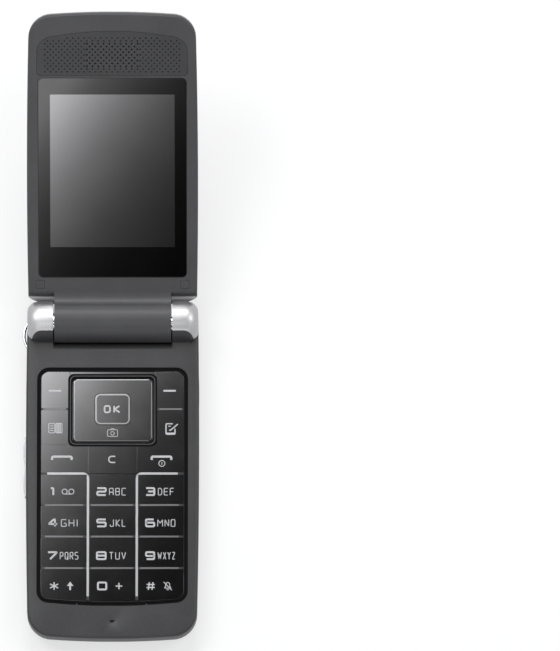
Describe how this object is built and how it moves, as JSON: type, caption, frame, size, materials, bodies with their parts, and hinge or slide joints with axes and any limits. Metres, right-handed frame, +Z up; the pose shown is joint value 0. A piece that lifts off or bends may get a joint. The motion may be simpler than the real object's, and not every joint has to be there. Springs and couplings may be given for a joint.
{
  "type": "flip phone",
  "caption": "Clamshell phone lying open: keypad base with sprung keys and a display lid on a barrel hinge with a camera at the hinge.",
  "frame": {"origin": "centre of the base's flat back face", "axes": "+X to the right across the keypad, +Y along the base towards the hinge, +Z up out of the keypad"},
  "size_m": [0.0497, 0.1723, 0.0443],
  "materials": {
    "dark_housing": "satin paint",
    "silver_paint": "metallic paint",
    "brushed_metal": "brushed",
    "bright_metal": "polished",
    "gloss_black": "high gloss",
    "display_glass": "high gloss",
    "display_module": "gloss",
    "rubber": "matt",
    "polyester_film": "satin",
    "circuit_board": "solder mask",
    "battery_case": "matt label",
    "gold_contact": "gold plated",
    "black_moulding": "matt"
  },
  "bodies": {
    "base": {"rear_housing": "dark_housing", "front_housing": "dark_housing", "hinge_cap_left": "silver_paint", "hinge_cap_right": "silver_paint", "strap_loop": "bright_metal", "keypad_bezel": "gloss_black", "keypad_dividers": "bright_metal", "nav_surround": "dark_housing", "key_mat": "rubber", "dome_sheet": "polyester_film", "main_board": "circuit_board", "battery": "battery_case", "battery_contacts": "gold_contact", "sim_holder": "bright_metal", "card_socket": "bright_metal", "connector_socket": "bright_metal", "vibration_motor": "bright_metal", "speaker_module": "black_moulding", "microphone": "gold_contact", "housing_screws": "bright_metal", "hinge_shaft": "bright_metal", "hinge_pin": "bright_metal"},
    "battery_cover": {"battery_cover": "dark_housing"},
    "connector_cover": {"connector_cover": "dark_housing"},
    "card_cover": {"card_cover": "dark_housing"},
    "volume_key": {"volume_key": "silver_paint"},
    "nav_pivot": {"nav_pivot": "bright_metal"},
    "nav_key": {"nav_key": "gloss_black"},
    "ok_key": {"ok_key": "gloss_black"},
    "lid": {"lid_inner_housing": "dark_housing", "lid_outer_housing": "silver_paint", "lid_plate": "brushed_metal", "display_window": "display_glass", "display_panel": "display_module", "earpiece_grille": "dark_housing", "earpiece": "black_moulding", "camera_bezel": "bright_metal", "camera_window": "gloss_black", "camera_module": "black_moulding", "hinge_cartridge": "bright_metal", "screw_covers": "dark_housing"},
    "key_soft_left": {"key_soft_left": "gloss_black"},
    "key_contacts": {"key_contacts": "gloss_black"},
    "key_send": {"key_send": "gloss_black"},
    "key_clear": {"key_clear": "gloss_black"},
    "key_end": {"key_end": "gloss_black"},
    "key_tasks": {"key_tasks": "gloss_black"},
    "key_soft_right": {"key_soft_right": "gloss_black"},
    "key_1": {"key_1": "gloss_black"},
    "key_2": {"key_2": "gloss_black"},
    "key_3": {"key_3": "gloss_black"},
    "key_4": {"key_4": "gloss_black"},
    "key_5": {"key_5": "gloss_black"},
    "key_6": {"key_6": "gloss_black"},
    "key_7": {"key_7": "gloss_black"},
    "key_8": {"key_8": "gloss_black"},
    "key_9": {"key_9": "gloss_black"},
    "key_star": {"key_star": "gloss_black"},
    "key_0": {"key_0": "gloss_black"},
    "key_hash": {"key_hash": "gloss_black"}
  },
  "joints": [
    {"name": "flip_hinge", "type": "hinge", "parent": "base", "child": "lid", "pos_m": [0, 0.0423, 0.0086], "axis": [1, 0, 0], "range_deg": [0, 156]},
    {"name": "battery_cover_slide", "type": "slide", "parent": "base", "child": "battery_cover", "axis": [0, -1, 0], "range_m": [0, 0.004]},
    {"name": "card_cover_hinge", "type": "hinge", "parent": "base", "child": "card_cover", "pos_m": [-0.0234, 0.0315, 0.0044], "axis": [0, 0, -1], "range_deg": [0, 90]},
    {"name": "connector_cover_hinge", "type": "hinge", "parent": "base", "child": "connector_cover", "pos_m": [0.0234, 0.0315, 0.0044], "axis": [0, 0, 1], "range_deg": [0, 90]},
    {"name": "volume_key_rock", "type": "hinge", "parent": "base", "child": "volume_key", "pos_m": [-0.0232, 0.00135, 0.0044], "axis": [0, 0, 1], "range_deg": [-1.2, 1.2], "stiffness_Nm_per_rad": 0.05},
    {"name": "nav_tilt_up_down", "type": "hinge", "parent": "base", "child": "nav_pivot", "pos_m": [0, 0.0171, 0.00725], "axis": [1, 0, 0], "range_deg": [-1.3, 1.3], "stiffness_Nm_per_rad": 0.05},
    {"name": "nav_tilt_side", "type": "hinge", "parent": "nav_pivot", "child": "nav_key", "pos_m": [0, 0.0171, 0.00725], "axis": [0, 1, 0], "range_deg": [-1.3, 1.3], "stiffness_Nm_per_rad": 0.05},
    {"name": "ok_key_press", "type": "slide", "parent": "base", "child": "ok_key", "axis": [0, 0, -1], "range_m": [0, 0.0003], "stiffness_N_per_m": 400},
    {"name": "key_soft_left_press", "type": "slide", "parent": "base", "child": "key_soft_left", "axis": [0, 0, -1], "range_m": [0, 0.0003], "stiffness_N_per_m": 400},
    {"name": "key_contacts_press", "type": "slide", "parent": "base", "child": "key_contacts", "axis": [0, 0, -1], "range_m": [0, 0.0003], "stiffness_N_per_m": 400},
    {"name": "key_send_press", "type": "slide", "parent": "base", "child": "key_send", "axis": [0, 0, -1], "range_m": [0, 0.0003], "stiffness_N_per_m": 400},
    {"name": "key_clear_press", "type": "slide", "parent": "base", "child": "key_clear", "axis": [0, 0, -1], "range_m": [0, 0.0003], "stiffness_N_per_m": 400},
    {"name": "key_end_press", "type": "slide", "parent": "base", "child": "key_end", "axis": [0, 0, -1], "range_m": [0, 0.0003], "stiffness_N_per_m": 400},
    {"name": "key_tasks_press", "type": "slide", "parent": "base", "child": "key_tasks", "axis": [0, 0, -1], "range_m": [0, 0.0003], "stiffness_N_per_m": 400},
    {"name": "key_soft_right_press", "type": "slide", "parent": "base", "child": "key_soft_right", "axis": [0, 0, -1], "range_m": [0, 0.0003], "stiffness_N_per_m": 400},
    {"name": "key_1_press", "type": "slide", "parent": "base", "child": "key_1", "axis": [0, 0, -1], "range_m": [0, 0.0003], "stiffness_N_per_m": 400},
    {"name": "key_2_press", "type": "slide", "parent": "base", "child": "key_2", "axis": [0, 0, -1], "range_m": [0, 0.0003], "stiffness_N_per_m": 400},
    {"name": "key_3_press", "type": "slide", "parent": "base", "child": "key_3", "axis": [0, 0, -1], "range_m": [0, 0.0003], "stiffness_N_per_m": 400},
    {"name": "key_4_press", "type": "slide", "parent": "base", "child": "key_4", "axis": [0, 0, -1], "range_m": [0, 0.0003], "stiffness_N_per_m": 400},
    {"name": "key_5_press", "type": "slide", "parent": "base", "child": "key_5", "axis": [0, 0, -1], "range_m": [0, 0.0003], "stiffness_N_per_m": 400},
    {"name": "key_6_press", "type": "slide", "parent": "base", "child": "key_6", "axis": [0, 0, -1], "range_m": [0, 0.0003], "stiffness_N_per_m": 400},
    {"name": "key_7_press", "type": "slide", "parent": "base", "child": "key_7", "axis": [0, 0, -1], "range_m": [0, 0.0003], "stiffness_N_per_m": 400},
    {"name": "key_8_press", "type": "slide", "parent": "base", "child": "key_8", "axis": [0, 0, -1], "range_m": [0, 0.0003], "stiffness_N_per_m": 400},
    {"name": "key_9_press", "type": "slide", "parent": "base", "child": "key_9", "axis": [0, 0, -1], "range_m": [0, 0.0003], "stiffness_N_per_m": 400},
    {"name": "key_star_press", "type": "slide", "parent": "base", "child": "key_star", "axis": [0, 0, -1], "range_m": [0, 0.0003], "stiffness_N_per_m": 400},
    {"name": "key_0_press", "type": "slide", "parent": "base", "child": "key_0", "axis": [0, 0, -1], "range_m": [0, 0.0003], "stiffness_N_per_m": 400},
    {"name": "key_hash_press", "type": "slide", "parent": "base", "child": "key_hash", "axis": [0, 0, -1], "range_m": [0, 0.0003], "stiffness_N_per_m": 400}
  ]
}
